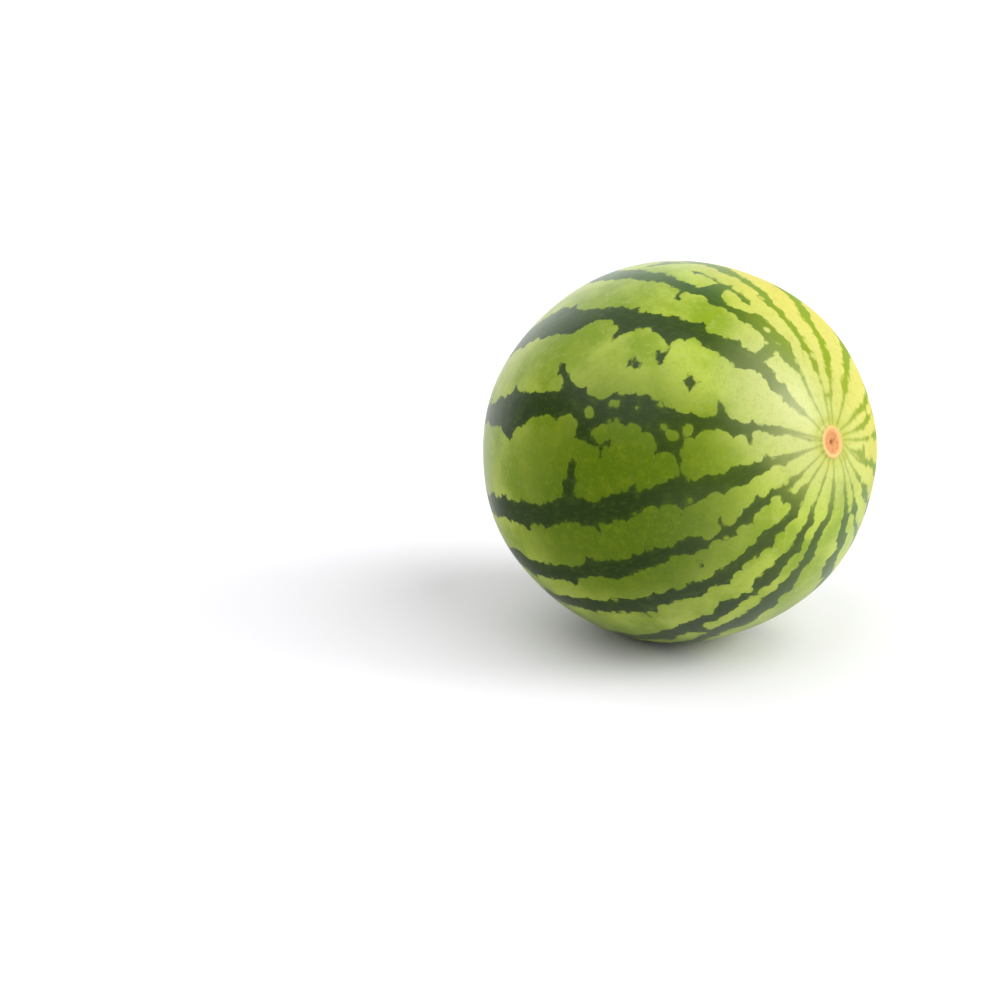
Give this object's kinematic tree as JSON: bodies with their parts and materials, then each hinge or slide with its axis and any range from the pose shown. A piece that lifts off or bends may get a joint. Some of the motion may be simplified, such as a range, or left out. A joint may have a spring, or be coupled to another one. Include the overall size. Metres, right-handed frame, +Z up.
{
  "type": "watermelon",
  "caption": "Whole small round watermelon with a striped green rind, lying on its side on a small flat spot, its round blossom scar raised a little.",
  "frame": {"origin": "middle of the small flat spot that the fruit rests on", "axes": "+Z up from the surface it rests on; +X level, below the blossom end, which rises 15.9 degrees above +X; -Y the side that faces the usual view"},
  "size_m": [0.19, 0.18, 0.1797],
  "materials": {
    "rind": "smooth waxy satin rind, pale yellow-green with dark green stripes"
  },
  "bodies": {
    "root": {"watermelon": "rind"}
  },
  "joints": []
}
